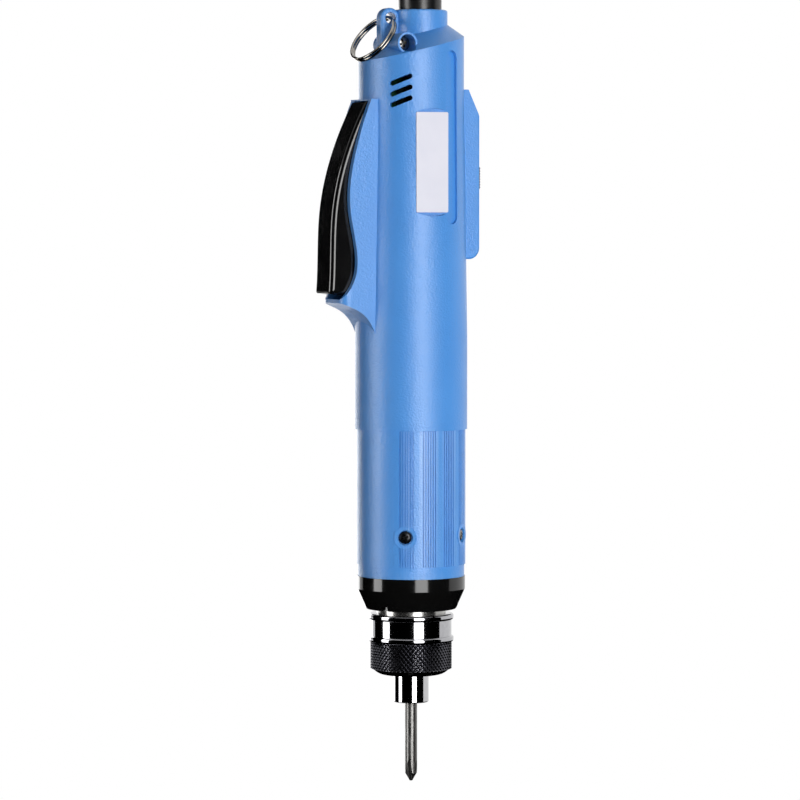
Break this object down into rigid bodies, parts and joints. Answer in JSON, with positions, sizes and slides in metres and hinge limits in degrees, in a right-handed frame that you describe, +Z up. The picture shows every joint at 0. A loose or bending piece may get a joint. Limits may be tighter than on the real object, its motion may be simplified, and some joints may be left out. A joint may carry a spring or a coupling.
{
  "type": "electric screwdriver",
  "caption": "In-line lever-start electric screwdriver with a hanging ring, ribbed grip, torque ring and round-shank cross bit, built as an assembly.",
  "frame": {"origin": "on the tool axis at the nose face of the chuck sleeve", "axes": "+Z up the tool axis towards the cord gland, the bit points to -Z, the start lever is towards -X and the reversing knob towards +X"},
  "size_m": [0.0541, 0.0374, 0.2684],
  "materials": {
    "housing_abs": "satin spark-eroded blue ABS",
    "grip_abs": "satin blue ABS",
    "label_white": "bare pale plate",
    "lever_black": "polished black plastic",
    "knob_black": "dark ridged plastic",
    "gland_rubber": "black rubber",
    "nickel_steel": "nickel-plated wire",
    "chrome_sleeve": "bright chrome",
    "black_chrome": "black chrome",
    "black_enamel": "glossy black enamel",
    "bit_steel": "grey hardened steel",
    "screw_steel": "dark nickel",
    "inner_steel": "ground steel",
    "inner_zinc": "die-cast alloy",
    "inner_brass": "bronze bush and copper",
    "inner_magnet": "ferrite",
    "board_green": "circuit board laminate",
    "part_black": "moulded component",
    "sensor_glass": "glass tube"
  },
  "bodies": {
    "housing": {"right_shell": "housing_abs", "left_shell": "housing_abs", "right_grip": "grip_abs", "left_grip": "grip_abs", "label_plate": "label_white", "shell_screw": "screw_steel", "grip_screws": "screw_steel", "cord_gland": "gland_rubber", "lever_pin": "inner_steel", "lever_spring": "inner_steel", "reversing_switch": "part_black", "circuit_board": "board_green", "start_sensor": "sensor_glass", "brake_transistor": "part_black", "capacitor": "part_black", "cord_terminal": "part_black", "motor_can": "inner_steel", "motor_magnets": "inner_magnet", "motor_end_cap": "part_black", "rear_bearing": "inner_brass", "front_bearing": "inner_steel", "brushes": "inner_magnet", "gear_case": "inner_zinc", "ring_gear": "inner_steel", "planet_washer": "inner_steel", "output_bearing": "inner_steel", "clutch_case": "inner_steel", "clutch_case_screws": "screw_steel", "nose_cap": "black_enamel"},
    "start_lever": {"lever": "lever_black", "lever_magnet": "inner_magnet"},
    "reversing_knob": {"reversing_knob": "knob_black"},
    "hanging_ring": {"hanging_ring": "nickel_steel"},
    "rotor": {"rotor": "inner_steel", "commutator": "inner_brass", "pinion": "inner_steel"},
    "spindle": {"carrier": "inner_steel", "planet_pins": "inner_steel", "driving_plate": "inner_steel", "clutch_balls": "inner_steel", "driven_plate": "inner_steel", "clutch_spring": "inner_steel", "spindle": "inner_steel", "lock_balls": "inner_steel", "chuck_spring": "inner_steel", "spring_collar": "inner_steel", "sleeve_keeper": "inner_steel", "bit": "bit_steel"},
    "planet_gear_1": {"planet_gear_1": "inner_steel"},
    "planet_gear_2": {"planet_gear_2": "inner_steel"},
    "planet_gear_3": {"planet_gear_3": "inner_steel"},
    "chuck_sleeve": {"chuck_sleeve": "chrome_sleeve"},
    "thrust_plate": {"thrust_plate": "inner_steel"},
    "torque_ring": {"torque_ring": "black_chrome"}
  },
  "joints": [
    {"name": "lever_press", "type": "hinge", "parent": "housing", "child": "start_lever", "pos_m": [-0.0159, 0, 0.1963], "axis": [0, -1, 0], "range_deg": [0, 4.2], "stiffness_Nm_per_rad": 0.8, "springref_deg": -5.73, "deforming": ["lever_spring"]},
    {"name": "reversing_slide", "type": "slide", "parent": "housing", "child": "reversing_knob", "axis": [0, 0, 1], "range_m": [-0.003, 0.003]},
    {"name": "hanging_ring_swing", "type": "hinge", "parent": "housing", "child": "hanging_ring", "pos_m": [-0.0084, 0, 0.227], "axis": [0, 1, 0], "range_deg": [0, 125]},
    {"name": "rotor_spin", "type": "hinge", "parent": "housing", "child": "rotor", "pos_m": [0, 0, 0.0607], "axis": [0, 0, 1], "continuous": true},
    {"name": "spindle_spin", "type": "hinge", "parent": "housing", "child": "spindle", "pos_m": [0, 0, 0.0433], "axis": [0, 0, 1], "continuous": true},
    {"name": "chuck_sleeve_lift", "type": "slide", "parent": "spindle", "child": "chuck_sleeve", "axis": [0, 0, 1], "range_m": [0, 0.0025], "stiffness_N_per_m": 600, "springref_m": -0.004, "deforming": ["chuck_spring"]},
    {"name": "thrust_plate_travel", "type": "slide", "parent": "housing", "child": "thrust_plate", "axis": [0, 0, 1], "range_m": [-0.0046, 0], "deforming": ["clutch_spring"]},
    {"name": "torque_ring_turn", "type": "hinge", "parent": "thrust_plate", "child": "torque_ring", "pos_m": [0, 0, 0.0113], "axis": [0, 0, 1], "range_deg": [0, 1080]},
    {"name": "planet_1_spin", "type": "hinge", "parent": "spindle", "child": "planet_gear_1", "pos_m": [0.0075, 0, 0.05602], "axis": [0, 0, 1], "continuous": true},
    {"name": "planet_2_spin", "type": "hinge", "parent": "spindle", "child": "planet_gear_2", "pos_m": [-0.00375, 0.00649, 0.05602], "axis": [0, 0, 1], "continuous": true},
    {"name": "planet_3_spin", "type": "hinge", "parent": "spindle", "child": "planet_gear_3", "pos_m": [-0.00375, -0.00649, 0.05602], "axis": [0, 0, 1], "continuous": true}
  ],
  "couplings": [
    {"joint": "rotor_spin", "follows": "spindle_spin", "ratio": 4.5},
    {"joint": "thrust_plate_travel", "follows": "torque_ring_turn", "m_per_rad": -0.00023873},
    {"joint": "planet_1_spin", "follows": "spindle_spin", "ratio": -2.8},
    {"joint": "planet_2_spin", "follows": "spindle_spin", "ratio": -2.8},
    {"joint": "planet_3_spin", "follows": "spindle_spin", "ratio": -2.8}
  ]
}
